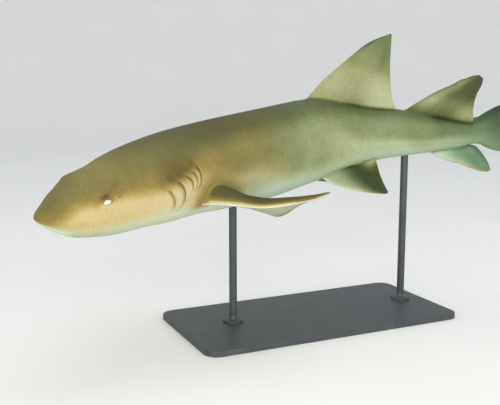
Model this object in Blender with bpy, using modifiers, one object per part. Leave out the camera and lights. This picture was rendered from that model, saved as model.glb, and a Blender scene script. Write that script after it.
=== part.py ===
"""Nurse shark: a still, life-size model held over a flat base by two rods.

Metres, +Z up. The snout points towards -X and the tail towards +X, and the origin is on the floor
at the middle of the model's box. The shark is drawn straight, in shares of its length, and every
point is then set along one curved spine. In the straight shark, share runs from the snout tip (0)
to the tail tip (1), side is positive to its left, and height is measured from the spine line.
"""
import bmesh
import bpy
import numpy as np

LENGTH = 2.30
GAP = 0.0003
SNOUT_TIP = np.array((-1.106, -0.245, 0.458))

# Spine: share, heading from +X in degrees, climb towards the tail in degrees.
SPINE = np.array([
    (0.00, 2.6, 5.4),
    (0.10, 18.0, 11.0),
    (0.20, 26.7, 5.3),
    (0.32, 13.3, 5.9),
    (0.44, 1.6, 7.6),
    (0.56, -11.5, 1.7),
    (0.68, -15.2, -1.1),
    (0.70, -14.2, 3.0),
    (0.73, -12.0, 7.0),
    (0.76, -10.3, 12.0),
    (0.79, -8.5, 13.5),
    (1.00, 4.3, 14.3),
])
SPINE_STEPS = 400

# Trunk sections: share, half width, back above the spine, belly below it, and how square the
# upper and the lower half are (2 is an ellipse).
SECTIONS = np.array([
    (0.000, 0.0000, 0.0000, 0.0000, 1.9, 2.5),
    (0.003, 0.0157, 0.0072, 0.0052, 1.9, 2.5),
    (0.010, 0.0264, 0.0136, 0.0111, 1.9, 2.5),
    (0.030, 0.0415, 0.0288, 0.0243, 2.2, 2.6),
    (0.044, 0.0460, 0.0362, 0.0292, 2.2, 2.6),
    (0.051, 0.0478, 0.0430, 0.0315, 2.2, 2.5),
    (0.068, 0.0524, 0.0452, 0.0356, 2.2, 2.5),
    (0.085, 0.0565, 0.0472, 0.0382, 2.2, 2.5),
    (0.110, 0.0621, 0.0520, 0.0401, 2.3, 2.5),
    (0.160, 0.0681, 0.0587, 0.0463, 2.2, 2.5),
    (0.200, 0.0681, 0.0631, 0.0480, 2.1, 2.5),
    (0.270, 0.0660, 0.0663, 0.0558, 2.1, 2.3),
    (0.350, 0.0600, 0.0690, 0.0592, 2.1, 2.2),
    (0.450, 0.0480, 0.0718, 0.0514, 2.1, 2.1),
    (0.560, 0.0330, 0.0503, 0.0326, 2.0, 2.0),
    (0.650, 0.0235, 0.0374, 0.0226, 2.0, 2.0),
    (0.700, 0.0184, 0.0312, 0.0148, 2.0, 2.0),
    (0.722, 0.0163, 0.0288, 0.0118, 2.0, 2.0),
    (0.735, 0.0155, 0.0290, 0.0150, 2.0, 2.0),
])
# Caudal fin: share, half width of its muscle ridge, upper edge, lower edge, with the notch that
# parts the end lobe from the long lower lobe.
CAUDAL = np.array([
    (0.735, 0.0155, 0.0290, 0.0150),
    (0.750, 0.0138, 0.0344, 0.0258),
    (0.773, 0.0115, 0.0392, 0.0362),
    (0.800, 0.0095, 0.0404, 0.0445),
    (0.835, 0.0075, 0.0362, 0.0455),
    (0.880, 0.0055, 0.0290, 0.0385),
    (0.925, 0.0040, 0.0215, 0.0300),
    (0.936, 0.0036, 0.0200, 0.0215),
    (0.948, 0.0032, 0.0185, 0.0290),
    (0.970, 0.0026, 0.0150, 0.0290),
    (0.990, 0.0018, 0.0085, 0.0180),
    (1.000, 0.0012, 0.0020, 0.0020),
])
BLADE_HALF = 0.0019
BLADE_EDGE = 0.0006
RIDGE_SPREAD = 0.013

# Where the body is parted, and how finely it is faceted.
HEAD_END = 0.197
TRUNK_END = 0.565
TAIL_END = 0.735
AROUND = 32
SHARE_STEP = 0.0193
CAUDAL_STEP = 0.0155

EYE_SHARE = 0.068
EYE_HEIGHT = 0.0118
EYE_RADIUS = 0.0130
EYE_PROUD = 0.0033

# Gill slits, front to back: share of the ends, height of the middle, half height, how far the
# middle bows back, and how far the lower end lies behind the upper one.
GILLS = (
    (0.1365, -0.0040, 0.0130, 0.0028, 0.0065),
    (0.1472, -0.0016, 0.0182, 0.0085, 0.0005),
    (0.1592, 0.0053, 0.0142, 0.0108, -0.0020),
    (0.1722, 0.0103, 0.0118, 0.0060, 0.0005),
    (0.1800, 0.0135, 0.0140, 0.0055, -0.0030),
)
GILL_WIDTH = 0.0011
GILL_DEPTH = 0.0050

MOUTH_SHARE = 0.036
MOUTH_HALF = 0.021
MOUTH_SWEEP = 0.010

BARBEL_ROOT = (0.0235, 0.0150)
BARBEL_LENGTH = 0.041
BARBEL_RADIUS = 0.0040

BASE_SIZE = (0.94, 0.46, 0.018)
BASE_CENTRE = (-0.15, -0.04)
BASE_CORNER = 0.045
ROD_SHARES = (0.315, 0.610)
ROD_RADIUS = 0.013
FOOT_RADIUS = 0.034
FOOT_HEIGHT = 0.008

SKIN_BROWN = (0.215, 0.180, 0.105)
FIN_BROWN = (0.250, 0.205, 0.110)
EYE_PALE = (0.620, 0.600, 0.480)
BARBEL_PALE = (0.560, 0.540, 0.420)
STAND_GREY = (0.090, 0.095, 0.100)


def through(places, values, at):
    """The smooth curve through values at places, with no overshoot between them."""
    step = np.diff(places)[:, None]
    slope = np.diff(values, axis=0) / step
    ahead = 2 * step[1:] + step[:-1]
    behind = step[1:] + 2 * step[:-1]
    same_way = slope[:-1] * slope[1:] > 0
    safe = np.where(same_way, slope[:-1], 1), np.where(same_way, slope[1:], 1)
    tangent = np.vstack([slope[:1], (ahead + behind) / (ahead / safe[0] + behind / safe[1]) * same_way, slope[-1:]])
    at = np.atleast_1d(at)
    span = np.clip(np.searchsorted(places, at, side="right") - 1, 0, len(places) - 2)
    width = step[span]
    part = (at[:, None] - places[span, None]) / width
    start = (1 + 2 * part) * (1 - part) ** 2 * values[span] + part * (1 - part) ** 2 * width * tangent[span]
    end = part ** 2 * (3 - 2 * part) * values[span + 1] + part ** 2 * (part - 1) * width * tangent[span + 1]
    return start + end


def lay_spine():
    """Shares, points, left, up and along directions of the posed spine."""
    shares = np.linspace(0, 1, SPINE_STEPS + 1)
    heading, climb = np.radians(through(SPINE[:, 0], SPINE[:, 1:], shares)).T
    along = np.stack([np.cos(heading) * np.cos(climb), np.sin(heading) * np.cos(climb), np.sin(climb)], 1)
    left = np.stack([np.sin(heading), -np.cos(heading), np.zeros_like(heading)], 1)
    travel = np.cumsum((along[1:] + along[:-1]) / 2, axis=0) * LENGTH / SPINE_STEPS
    points = SNOUT_TIP + np.vstack([np.zeros(3), travel])
    return shares, points, left, np.cross(left, along), along


SPINE_LAID = lay_spine()


def spine_at(share, which):
    """One of the laid spine's columns, read at any share: 1 point, 2 left, 3 up, 4 along."""
    rows = SPINE_LAID[which]
    return np.stack([np.interp(share, SPINE_LAID[0], rows[:, k]) for k in range(3)], axis=-1)


def pose(share, side, height):
    """World points of straight-shark places."""
    share, side, height = np.broadcast_arrays(share, side, height)
    offset = spine_at(share, 2) * side[..., None] + spine_at(share, 3) * height[..., None]
    return spine_at(share, 1) + LENGTH * offset


def sizes_at(share):
    """Half width, back, belly and the two squarenesses of the trunk at a share."""
    reach = np.clip(share, 0, TAIL_END)
    return through(np.sqrt(SECTIONS[:, 0]), SECTIONS[:, 1:], np.sqrt(reach)).T


def flank(share, height):
    """Half width of the trunk at a share and a height."""
    half, back, belly, upper, lower = sizes_at(share)
    tall, square = np.where(height >= 0, (back, upper), (belly, lower))
    return half * np.maximum(0, 1 - np.abs(height / tall) ** square) ** (1 / square)


def section(share, angles):
    """Side and height of the body's section at one share."""
    half, back, belly, upper, lower = (value[0] for value in sizes_at(share))
    cosine, sine = np.cos(angles), np.sin(angles)
    square = np.where(sine >= 0, upper, lower)
    side = half * np.sign(cosine) * np.abs(cosine) ** (2 / square)
    if share <= TAIL_END:
        return side, np.where(sine >= 0, back, belly) * np.sign(sine) * np.abs(sine) ** (2 / square)
    half, top, bottom = through(CAUDAL[:, 0], CAUDAL[:, 1:], share)[0]
    height = np.where(sine >= 0, top, bottom) * sine
    blade = BLADE_EDGE + (BLADE_HALF - BLADE_EDGE) * np.abs(cosine)
    ridge = blade + np.maximum(half - blade, 0) * np.exp(-(height / RIDGE_SPREAD) ** 2)
    thin = ridge * np.sign(cosine) * np.abs(cosine) ** 0.4
    flatten = np.clip((share - TAIL_END) / 0.045, 0, 1)
    flatten = flatten ** 2 * (3 - 2 * flatten)
    return half * cosine * (1 - flatten) + thin * flatten, height


def body_ring(share, proud=0.0):
    """World points of the body's outline at a share, optionally standing proud by some metres."""
    angles = np.linspace(0, 2 * np.pi, AROUND, endpoint=False)
    side, height = section(share, angles)
    side = side + proud / LENGTH * np.cos(angles)
    height = height + proud / LENGTH * np.sin(angles)
    return pose(share, side, height)


def shares_between(low, high):
    """Section places from low to high, closest together at the snout."""
    if low >= TAIL_END - GAP:
        count = int(round((high - low) / CAUDAL_STEP))
        notch = np.array((0.930, 0.936, 0.942, 0.980, 0.990))
        inner = np.concatenate([np.linspace(low, high, count + 1)[1:-1], notch])
    else:
        inner = np.arange(1, 60) ** 2 * SHARE_STEP ** 2
    inner = np.sort(inner[(inner > low + 0.002) & (inner < high - 0.002)])
    return np.concatenate([[low], inner, [high]])


def new_object(name, mesh, colour, roughness):
    """An object with its own material, in the shark's collection."""
    shell = bpy.data.objects.new(name, mesh)
    material = bpy.data.materials.new(name + "_finish")
    material.use_nodes = True
    surface = material.node_tree.nodes["Principled BSDF"]
    surface.inputs["Base Color"].default_value = (*colour, 1.0)
    surface.inputs["Roughness"].default_value = roughness
    mesh.materials.append(material)
    mesh.shade_smooth()
    PARTS.objects.link(shell)
    return shell


def cutter(name, mesh):
    """A wire object that only cuts others."""
    tool = bpy.data.objects.new(name, mesh)
    tool.hide_render = True
    tool.display_type = "WIRE"
    CUTTERS.objects.link(tool)
    return tool


def cut(target, tool):
    """Take the tool's volume out of the target."""
    step = target.modifiers.new("cut_by_" + tool.name, "BOOLEAN")
    step.operation = "DIFFERENCE"
    step.object = tool
    step.solver = "EXACT"


def loft(name, rings, tip=None):
    """A closed skin over rings of equal count, ended by a tip point or a flat fan."""
    mesh = bmesh.new()
    rows = [[mesh.verts.new(point) for point in ring] for ring in rings]
    for near, far in zip(rows, rows[1:]):
        for k in range(len(near)):
            after = (k + 1) % len(near)
            mesh.faces.new((near[k], near[after], far[after], far[k]))
    for row, end in ((rows[0], tip), (rows[-1], None)):
        middle = end if end is not None else np.mean([vert.co for vert in row], axis=0)
        centre = mesh.verts.new(middle)
        for k, vert in enumerate(row):
            mesh.faces.new((centre, vert, row[(k + 1) % len(row)]))
    bmesh.ops.recalc_face_normals(mesh, faces=mesh.faces)
    shell = bpy.data.meshes.new(name)
    mesh.to_mesh(shell)
    mesh.free()
    return shell


def body_piece(name, low, high):
    """One length of the body, from share to share."""
    rings = [body_ring(share) for share in shares_between(low, high)[int(low == 0):]]
    tip = pose(0.0, 0.0, 0.0) if low == 0 else None
    return new_object(name, loft(name, rings, tip), SKIN_BROWN, 0.62)


def body_cutter():
    """The whole body standing proud by the gap, which trims what grows out of it."""
    lengths = ((0.0, HEAD_END), (HEAD_END, TRUNK_END), (TRUNK_END, TAIL_END), (TAIL_END, 1.0))
    shares = np.unique(np.concatenate([shares_between(low, high) for low, high in lengths]))
    rings = [body_ring(share, GAP) for share in shares[1:]]
    return cutter("body_outline", loft("body_outline", rings, pose(0.0, 0.0, 0.0) - (GAP, 0, 0)))


def swept_row(lead, trail, normal, thick, lift):
    """Points round one section of a fin: rounded in front, arched by lift, thin behind."""
    part = np.array((0.05, 0.15, 0.30, 0.50, 0.75, 1.0))
    full = 2.969 * np.sqrt(part) - 1.26 * part - 3.516 * part ** 2 + 2.843 * part ** 3 - 1.036 * part ** 4
    half = thick / 2 * full + FIN_EDGE * np.minimum(1, part * 4)
    line = lead + (trail - lead) * part[:, None] + lift * np.sin(np.pi * part ** 0.7)[:, None]
    upper = line + normal * half[:, None]
    lower = line - normal * half[:, None]
    return np.vstack([upper[::-1], lead, lower])


FIN_EDGE = 0.0008
FIN_ROWS = np.array((0.0, 0.05, 0.11, 0.18, 0.27, 0.38, 0.50, 0.62, 0.74, 0.85, 0.93, 0.98, 1.0))


def fin(name, edges, sink, to_world, thick, arch=0.0):
    """A fin whose sections run from its leading edge to its trailing one.

    edges: leading and trailing points in shares of length, each with how far out it lies (0 to 1).
    sink: how the first section is moved to bury the root. thick: thickness at root and tip.
    arch: how far the root section's middle stands above the line between its edges.
    """
    lead, trail = (through(edge[:, 0], edge[:, 1:], FIN_ROWS) for edge in edges)
    lead, trail = (np.vstack([line[:1] + sink, line]) for line in (lead, trail))
    out = np.concatenate([[0.0], FIN_ROWS])
    lift = np.outer(arch * (1 - out), (0, 0, 1))
    lift = to_world(lead + lift) - to_world(lead)
    lead, trail = to_world(lead), to_world(trail)
    outward = np.gradient((lead + trail) / 2, axis=0)
    normal = np.cross(outward, trail - lead)
    normal /= np.linalg.norm(normal, axis=1)[:, None]
    flare = 1 + 0.7 * np.exp(-out / 0.05)
    depth = (thick[1] + (thick[0] - thick[1]) * (1 - out) ** 0.8) * flare * LENGTH
    rings = [swept_row(*row) for row in zip(lead, trail, normal, depth, lift)]
    shell = new_object(name, loft(name, rings), FIN_BROWN, 0.58)
    cut(shell, bpy.data.objects["body_outline"])
    return shell


def from_back(points):
    """Places of a dorsal fin, whose heights count from the back."""
    return pose(points[:, 0], points[:, 1], points[:, 2] + sizes_at(points[:, 0])[1])


def from_spine(points):
    """Places of the anal fin, whose heights count from the spine."""
    return pose(points[:, 0], points[:, 1], points[:, 2])


def from_flank(share, height, hand):
    """Places of a paired fin, counted back, out and up from its front corner on the flank."""
    corner = pose(share, hand * flank(share, height)[0], height)
    back, left, up = (spine_at(share, which) for which in (4, 2, 3))
    axes = np.stack([back, hand * left, up])
    return lambda points: corner + LENGTH * points @ axes


def median_fins():
    """The two dorsal fins and the anal fin, upright on the middle line."""
    first = (
        np.array([(0.0, 0.450, 0, -0.004), (0.25, 0.480, 0, 0.0245), (0.5, 0.5130, 0, 0.0565),
                  (0.8, 0.5540, 0, 0.0960), (1.0, 0.5835, 0, 0.1120)]),
        np.array([(0.0, 0.549, 0, -0.004), (0.11, 0.5905, 0.008, -0.0010), (0.27, 0.5868, 0.001, 0.018),
                  (0.6, 0.5836, 0, 0.060), (0.93, 0.5850, 0, 0.1025), (1.0, 0.5855, 0, 0.1105)]),
    )
    fin("dorsal_fin_first", first, (0, 0, -0.022), from_back, (0.0150, 0.0022))
    second = (
        np.array([(0.0, 0.6030, 0, -0.004), (0.25, 0.6335, 0, 0.0187), (0.5, 0.6680, 0, 0.0415),
                  (0.8, 0.7120, 0, 0.0614), (0.93, 0.7320, 0, 0.0650), (1.0, 0.7455, 0, 0.0643)]),
        np.array([(0.0, 0.7000, 0.009, -0.012), (0.11, 0.7175, 0.0110, -0.0055), (0.27, 0.7234, 0.004, 0.0135),
                  (0.6, 0.7345, 0, 0.0345), (0.93, 0.7500, 0, 0.0515), (1.0, 0.7530, 0, 0.0578)]),
    )
    fin("dorsal_fin_second", second, (0, 0, -0.014), from_back, (0.0095, 0.0020))
    anal = (
        np.array([(0.0, 0.6440, 0, -0.0170), (0.25, 0.6700, 0, -0.0325), (0.5, 0.7000, 0, -0.0420),
                  (0.8, 0.7280, 0, -0.0562), (1.0, 0.7420, 0, -0.0612)]),
        np.array([(0.0, 0.7080, 0, -0.0100), (0.11, 0.7262, 0, -0.0158), (0.27, 0.7300, 0, -0.0200),
                  (0.6, 0.7392, 0, -0.0350), (0.93, 0.7455, 0, -0.0520), (1.0, 0.7462, 0, -0.0580)]),
    )
    fin("anal_fin", anal, (0, 0, 0.008), from_spine, (0.0095, 0.0018))


def pectoral_edges(droop):
    """Edges of a pectoral fin: long, broad and gently curved, its rear corner hanging by droop."""
    lead = np.array([(0.0, -0.003, -0.006, 0.0), (0.25, 0.026, 0.028, -0.12 * droop),
                     (0.5, 0.050, 0.067, -0.23 * droop), (0.85, 0.1015, 0.1003, -0.18 * droop),
                     (1.0, 0.1265, 0.1092, -0.11 * droop)])
    trail = np.array([(0.0, 0.062, -0.006, -0.006), (0.12, 0.083, 0.0105, -0.44 * droop),
                      (0.25, 0.113, 0.0304, -droop), (0.6, 0.1135, 0.0708, -0.52 * droop),
                      (0.92, 0.1255, 0.0965, -0.23 * droop), (1.0, 0.1305, 0.1077, -0.12 * droop)])
    return lead, trail


def pelvic_edges(droop):
    """Edges of a pelvic fin, with its tip hanging by droop."""
    lead = np.array([(0.0, -0.003, -0.006, 0.004), (0.25, 0.012, 0.008, -0.29 * droop),
                     (0.5, 0.0376, 0.0319, -0.67 * droop), (0.85, 0.0693, 0.0450, -0.95 * droop),
                     (1.0, 0.0795, 0.0497, -droop)])
    trail = np.array([(0.0, 0.050, -0.010, 0.010), (0.12, 0.086, 0.001, 0.010),
                      (0.25, 0.0955, 0.003, 0.013), (0.6, 0.0884, 0.0239, -0.29 * droop),
                      (0.92, 0.0835, 0.0470, -0.92 * droop), (1.0, 0.0835, 0.0487, -0.96 * droop)])
    return lead, trail


def paired_fins():
    """The pectoral and pelvic fins. The left pectoral is cupped down, the right one is flatter."""
    for hand, name, droop, arch in ((1, "left", 0.042, 0.013), (-1, "right", 0.016, 0.006)):
        place = from_flank(0.185, -0.022, hand)
        fin("pectoral_fin_" + name, pectoral_edges(droop), (0, -0.030, 0.0), place, (0.0200, 0.0026), arch)
        place = from_flank(0.450, -0.044, hand)
        fin("pelvic_fin_" + name, pelvic_edges(0.0326), (0, -0.016, 0.012), place, (0.0110, 0.0020))


def gill_slits():
    """Thin curved blades that cut the five slits into each side of the head."""
    part = np.linspace(-1, 1, 7)
    width = GILL_WIDTH / 2 * np.sqrt(1.05 - part ** 2)
    corners = ((-width, -GILL_DEPTH), (width, -GILL_DEPTH), (width, 0.004), (-width, 0.004))
    for number, (share, middle, half, bow, lean) in enumerate(GILLS, start=1):
        height = middle + half * part
        place = share + bow * (1 - part ** 2) - lean / 2 * part
        surface = flank(place, height)
        for hand, name in ((1, "left"), (-1, "right")):
            rows = np.stack([pose(place + along, hand * (surface + deep), height)
                             for along, deep in corners], axis=1)
            yield cutter(f"gill_{name}_{number}", loft("gill", rows))


def mouth_cutter():
    """A thin curved blade under the snout, its corners swept back."""
    part = np.linspace(-1, 1, 9)
    side = MOUTH_HALF * part
    middle = MOUTH_SHARE + MOUTH_SWEEP * part ** 2
    half, _, belly, _, square = sizes_at(middle)
    surface = belly * (1 - np.abs(side / half) ** square) ** (1 / square)
    width = 0.0012 * np.sqrt(1.05 - part ** 2)
    corners = ((-width, -0.0050), (width, -0.0050), (width, 0.004), (-width, 0.004))
    rows = np.stack([pose(middle + along, side, -(surface + deep)) for along, deep in corners], axis=1)
    return cutter("mouth_line", loft("mouth_line", rows))


def eye_centre(hand):
    """Middle of an eyeball, sunk so that it stands proud of the cheek by EYE_PROUD."""
    surface = flank(EYE_SHARE, EYE_HEIGHT)[0]
    outward = hand * (surface * LENGTH + EYE_PROUD - EYE_RADIUS) / LENGTH
    return pose(EYE_SHARE, outward, EYE_HEIGHT)


def ball(name, centre, radius):
    """A faceted ball."""
    mesh = bmesh.new()
    bmesh.ops.create_uvsphere(mesh, u_segments=14, v_segments=9, radius=radius)
    bmesh.ops.translate(mesh, verts=mesh.verts, vec=centre)
    shell = bpy.data.meshes.new(name)
    mesh.to_mesh(shell)
    mesh.free()
    return shell


def eyes(head):
    """Both eyeballs, in sockets that clear them by the gap."""
    for hand, name in ((1, "eye_left"), (-1, "eye_right")):
        new_object(name, ball(name, eye_centre(hand), EYE_RADIUS), EYE_PALE, 0.15)
        cut(head, cutter(name + "_socket", ball(name, eye_centre(hand), EYE_RADIUS + GAP)))


def barbel(name, hand, hang):
    """A tapered feeler from beside a nostril, trailing back and hanging down by a share."""
    share, side = BARBEL_ROOT
    half, _, belly, _, square = (value[0] for value in sizes_at(share))
    height = -belly * (1 - (side / half) ** square) ** (1 / square)
    root = pose(share, hand * side, height)
    back, left, up = (spine_at(share, which) for which in (4, 2, 3))
    line = bpy.data.curves.new(name, "CURVE")
    line.dimensions = "3D"
    line.bevel_depth = BARBEL_RADIUS
    line.bevel_resolution = 2
    line.use_fill_caps = True
    path = line.splines.new("POLY")
    steps = np.linspace(-0.25, 1, 8)
    path.points.add(len(steps) - 1)
    for point, step in zip(path.points, steps):
        swing = max(step, 0) ** 2
        fall = hang * step
        trail = 0.50 * step + 0.05 * swing
        place = root + BARBEL_LENGTH * (back * trail - up * fall + left * hand * 0.15 * step)
        point.co = (*place, 1)
        point.radius = 1 - 0.72 * max(step, 0)
    guide = bpy.data.objects.new(name + "_line", line)
    CUTTERS.objects.link(guide)
    graph = bpy.context.evaluated_depsgraph_get()
    mesh = bpy.data.meshes.new_from_object(guide.evaluated_get(graph))
    bpy.data.objects.remove(guide)
    weld = bmesh.new()
    weld.from_mesh(mesh)
    bmesh.ops.remove_doubles(weld, verts=weld.verts, dist=0.00001)
    weld.to_mesh(mesh)
    weld.free()
    mesh.name = name
    mesh.materials.clear()
    cut(new_object(name, mesh, BARBEL_PALE, 0.55), bpy.data.objects["body_outline"])


def stand_base():
    """A flat plate with rounded corners and eased upper edges."""
    mesh = bmesh.new()
    bmesh.ops.create_cube(mesh, size=1.0)
    bmesh.ops.scale(mesh, verts=mesh.verts, vec=BASE_SIZE)
    bmesh.ops.translate(mesh, verts=mesh.verts, vec=(*BASE_CENTRE, BASE_SIZE[2] / 2))
    upright = [edge for edge in mesh.edges if abs(edge.verts[0].co.z - edge.verts[1].co.z) > GAP]
    bmesh.ops.bevel(mesh, geom=upright, offset=BASE_CORNER, segments=6, profile=0.5, affect="EDGES")
    rim = [edge for edge in mesh.edges if all(vert.co.z > BASE_SIZE[2] - GAP for vert in edge.verts)]
    bmesh.ops.bevel(mesh, geom=rim, offset=0.003, segments=2, profile=0.5, affect="EDGES")
    shell = bpy.data.meshes.new("stand_base")
    mesh.to_mesh(shell)
    mesh.free()
    plate = new_object("stand_base", shell, STAND_GREY, 0.45)
    shell.set_sharp_from_angle(angle=np.radians(35))
    return plate


def stand_rod(name, share):
    """A turned rod with a round foot, trimmed to the belly that it carries."""
    top = pose(share, 0.0, 0.0)
    floor = BASE_SIZE[2] + GAP
    foot = floor + FOOT_HEIGHT
    profile = ((0.0, top[2]), (ROD_RADIUS, top[2]), (ROD_RADIUS, foot + 0.012), (ROD_RADIUS + 0.004, foot + 0.003),
               (FOOT_RADIUS - 0.002, foot), (FOOT_RADIUS, foot - 0.002), (FOOT_RADIUS, floor), (0.0, floor))
    mesh = bpy.data.meshes.new(name)
    mesh.from_pydata([(across, 0, high) for across, high in profile], [(k, k + 1) for k in range(7)], [])
    rod = new_object(name, mesh, STAND_GREY, 0.35)
    rod.location = (top[0], top[1], 0)
    turn = rod.modifiers.new("turn", "SCREW")
    turn.steps = 20
    turn.render_steps = 20
    turn.use_merge_vertices = True
    turn.merge_threshold = 0.00001
    cut(rod, bpy.data.objects["body_outline"])
    return rod


def build():
    """Every part of the model, in the order in which they trim each other."""
    body_cutter()
    half_gap = GAP / LENGTH
    head = body_piece("head", 0.0, HEAD_END - half_gap)
    body_piece("trunk", HEAD_END + half_gap, TRUNK_END - half_gap)
    body_piece("tail", TRUNK_END + half_gap, TAIL_END - half_gap)
    body_piece("caudal_fin", TAIL_END + half_gap, 1.0)
    for blade in gill_slits():
        cut(head, blade)
    cut(head, mouth_cutter())
    eyes(head)
    barbel("barbel_left", 1, 0.56)
    barbel("barbel_right", -1, 0.45)
    median_fins()
    paired_fins()
    stand_base()
    stand_rod("stand_rod_front", ROD_SHARES[0])
    stand_rod("stand_rod_rear", ROD_SHARES[1])


for leftover in list(bpy.data.objects):
    bpy.data.objects.remove(leftover, do_unlink=True)
PARTS = bpy.data.collections.new("nurse_shark")
CUTTERS = bpy.data.collections.new("cutters")
for group in (PARTS, CUTTERS):
    bpy.context.scene.collection.children.link(group)
build()
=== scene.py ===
"""Looks of the nurse shark: one skin over its flesh, two eyes, and a painted display stand.

Metres, +Z up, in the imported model's frame. The skin is drawn from the solids' own named values:
in the straight shark, share runs from the snout tip (0) to the tail tip (1), side is positive to
its left, and height is measured from the spine line, both in shares of LENGTH.
"""

import bpy
import numpy as np
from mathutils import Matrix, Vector
from mathutils.kdtree import KDTree


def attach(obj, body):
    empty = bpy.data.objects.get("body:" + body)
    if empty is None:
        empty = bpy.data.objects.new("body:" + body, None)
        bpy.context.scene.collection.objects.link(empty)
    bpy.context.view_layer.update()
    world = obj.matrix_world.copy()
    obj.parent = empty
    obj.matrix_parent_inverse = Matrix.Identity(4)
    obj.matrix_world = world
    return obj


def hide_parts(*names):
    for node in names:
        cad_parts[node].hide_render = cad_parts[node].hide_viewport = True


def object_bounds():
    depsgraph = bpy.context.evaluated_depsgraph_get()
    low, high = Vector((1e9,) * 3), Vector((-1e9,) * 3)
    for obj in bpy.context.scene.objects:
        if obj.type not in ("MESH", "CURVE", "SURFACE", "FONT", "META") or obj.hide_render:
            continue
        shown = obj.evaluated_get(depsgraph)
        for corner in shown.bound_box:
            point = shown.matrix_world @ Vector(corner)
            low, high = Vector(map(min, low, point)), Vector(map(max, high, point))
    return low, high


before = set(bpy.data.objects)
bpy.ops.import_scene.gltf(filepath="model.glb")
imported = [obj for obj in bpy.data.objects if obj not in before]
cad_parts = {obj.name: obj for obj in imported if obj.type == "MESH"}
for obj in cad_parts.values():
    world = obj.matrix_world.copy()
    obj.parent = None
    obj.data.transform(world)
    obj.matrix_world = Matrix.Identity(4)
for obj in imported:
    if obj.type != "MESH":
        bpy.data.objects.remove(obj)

CAD_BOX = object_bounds()

LENGTH = 2.30
MM = 0.001
SNOUT_TIP = np.array((-1.106, -0.245, 0.458))

# Spine: share, heading from +X in degrees, climb towards the tail in degrees.
SPINE = np.array([
    (0.00, 2.6, 5.4),
    (0.10, 18.0, 11.0),
    (0.20, 26.7, 5.3),
    (0.32, 13.3, 5.9),
    (0.44, 1.6, 7.6),
    (0.56, -11.5, 1.7),
    (0.68, -15.2, -1.1),
    (0.70, -14.2, 3.0),
    (0.73, -12.0, 7.0),
    (0.76, -10.3, 12.0),
    (0.79, -8.5, 13.5),
    (1.00, 4.3, 14.3),
])
SPINE_STEPS = 400
UNPOSE_ROUNDS = 14

# Trunk sections: share, half width, back above the spine, belly below it, and how square the
# upper and the lower half are (2 is an ellipse).
SECTIONS = np.array([
    (0.000, 0.0000, 0.0000, 0.0000, 1.9, 2.5),
    (0.003, 0.0157, 0.0072, 0.0052, 1.9, 2.5),
    (0.010, 0.0264, 0.0136, 0.0111, 1.9, 2.5),
    (0.030, 0.0415, 0.0288, 0.0243, 2.2, 2.6),
    (0.044, 0.0460, 0.0362, 0.0292, 2.2, 2.6),
    (0.051, 0.0478, 0.0430, 0.0315, 2.2, 2.5),
    (0.068, 0.0524, 0.0452, 0.0356, 2.2, 2.5),
    (0.085, 0.0565, 0.0472, 0.0382, 2.2, 2.5),
    (0.110, 0.0621, 0.0520, 0.0401, 2.3, 2.5),
    (0.160, 0.0681, 0.0587, 0.0463, 2.2, 2.5),
    (0.200, 0.0681, 0.0631, 0.0480, 2.1, 2.5),
    (0.270, 0.0660, 0.0663, 0.0558, 2.1, 2.3),
    (0.350, 0.0600, 0.0690, 0.0592, 2.1, 2.2),
    (0.450, 0.0480, 0.0718, 0.0514, 2.1, 2.1),
    (0.560, 0.0330, 0.0503, 0.0326, 2.0, 2.0),
    (0.650, 0.0235, 0.0374, 0.0226, 2.0, 2.0),
    (0.700, 0.0184, 0.0312, 0.0148, 2.0, 2.0),
    (0.722, 0.0163, 0.0288, 0.0118, 2.0, 2.0),
    (0.735, 0.0155, 0.0290, 0.0150, 2.0, 2.0),
])
# Caudal fin: share, half width of its muscle ridge, upper edge, lower edge.
CAUDAL = np.array([
    (0.735, 0.0155, 0.0290, 0.0150),
    (0.750, 0.0138, 0.0344, 0.0258),
    (0.773, 0.0115, 0.0392, 0.0362),
    (0.800, 0.0095, 0.0404, 0.0445),
    (0.835, 0.0075, 0.0362, 0.0455),
    (0.880, 0.0055, 0.0290, 0.0385),
    (0.925, 0.0040, 0.0215, 0.0300),
    (0.936, 0.0036, 0.0200, 0.0215),
    (0.948, 0.0032, 0.0185, 0.0290),
    (0.970, 0.0026, 0.0150, 0.0290),
    (0.990, 0.0018, 0.0085, 0.0180),
    (1.000, 0.0012, 0.0020, 0.0020),
])
TAIL_END = 0.735
# Half widths of the fin's blade and of its rim, how far the ridge spreads up and down, and how
# much of the length the trunk takes to flatten into the blade.
BLADE_HALF = 0.0019
BLADE_EDGE = 0.0006
RIDGE_SPREAD = 0.013
BLADE_START = 0.045

# How finely the skin is drawn: from share, to share, millimetres between rings. The snout's rings
# crowd towards its tip, and from COARSE_FROM on every second point of a ring is left out.
SNOUT_RINGS = 26
SNOUT_END = 0.01
COARSE_FROM = 0.25
RING_STEPS = ((SNOUT_END, 0.05, 1.9), (0.05, 0.086, 1.3), (0.086, 0.128, 2.6), (0.128, 0.192, 2.6),
              (0.192, COARSE_FROM, 4.0), (COARSE_FROM, TAIL_END, 7.0), (TAIL_END, 1.0, 4.5))
# Degrees round a section: from, to, step. The flanks are finest, for the eyes and gills.
ANGLE_STEPS = ((-25, 28, 0.65), (28, 152, 2.4), (152, 205, 0.65), (205, 335, 1.7))

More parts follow.
